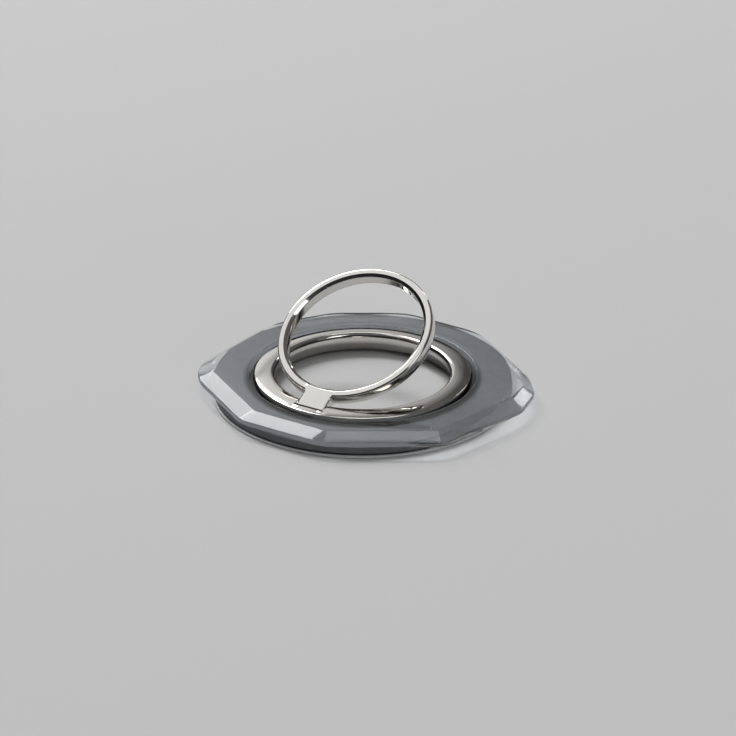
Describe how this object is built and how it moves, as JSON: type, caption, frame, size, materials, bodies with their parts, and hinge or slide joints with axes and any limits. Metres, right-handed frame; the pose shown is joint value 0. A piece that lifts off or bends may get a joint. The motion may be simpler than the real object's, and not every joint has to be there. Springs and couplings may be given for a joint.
{
  "type": "phone ring holder",
  "caption": "Magnetic phone ring holder: clear faceted plate on a round magnet base, with a swivelling metal bezel and a folding finger ring that also props the phone.",
  "frame": {"origin": "where the swivel axis meets the flat face that grips the phone", "axes": "+Z out of the phone along the swivel axis, +X to the right and +Y away from the viewer of the picture"},
  "size_m": [0.0652, 0.0586, 0.0214],
  "materials": {
    "clear_acrylic": "clear, polished, slightly smoky",
    "gray_plastic": "fine matte grain, slate gray",
    "yoke_steel": "plain rolled steel",
    "pad_rubber": "pale translucent silicone, matte",
    "bezel_metal": "polished metal with a soft satin",
    "washer_plastic": "slippery black plastic film",
    "retainer_steel": "plain spring steel",
    "ring_metal": "polished metal with a soft satin",
    "pin_steel": "ground steel",
    "washer_steel": "spring steel",
    "magnet_nickel": "nickel plated magnet"
  },
  "bodies": {
    "base": {"magnet_base": "gray_plastic", "clear_cover": "clear_acrylic", "grip_pad": "pad_rubber", "steel_yoke": "yoke_steel", "upper_slide_washer": "washer_plastic", "magnet_01": "magnet_nickel", "magnet_02": "magnet_nickel", "magnet_03": "magnet_nickel", "magnet_04": "magnet_nickel", "magnet_05": "magnet_nickel", "magnet_06": "magnet_nickel", "magnet_07": "magnet_nickel", "magnet_08": "magnet_nickel", "magnet_09": "magnet_nickel", "magnet_10": "magnet_nickel", "magnet_11": "magnet_nickel", "magnet_12": "magnet_nickel", "magnet_13": "magnet_nickel", "magnet_14": "magnet_nickel", "magnet_15": "magnet_nickel", "magnet_16": "magnet_nickel"},
    "swivel": {"swivel_bezel": "bezel_metal", "retaining_ring": "retainer_steel", "lower_slide_washer": "washer_plastic", "hinge_pin": "pin_steel", "hinge_washer_left": "washer_steel", "hinge_washer_right": "washer_steel"},
    "ring": {"finger_ring": "ring_metal"}
  },
  "joints": [
    {"name": "bezel_swivel", "type": "hinge", "parent": "base", "child": "swivel", "pos_m": [0, 0, 0], "axis": [0, 0, 1], "continuous": true},
    {"name": "ring_flip", "type": "hinge", "parent": "swivel", "child": "ring", "pos_m": [-0.00956, -0.0156, 0.00342], "axis": [0.8526, -0.5225, 0], "range_deg": [-31, 74]}
  ]
}
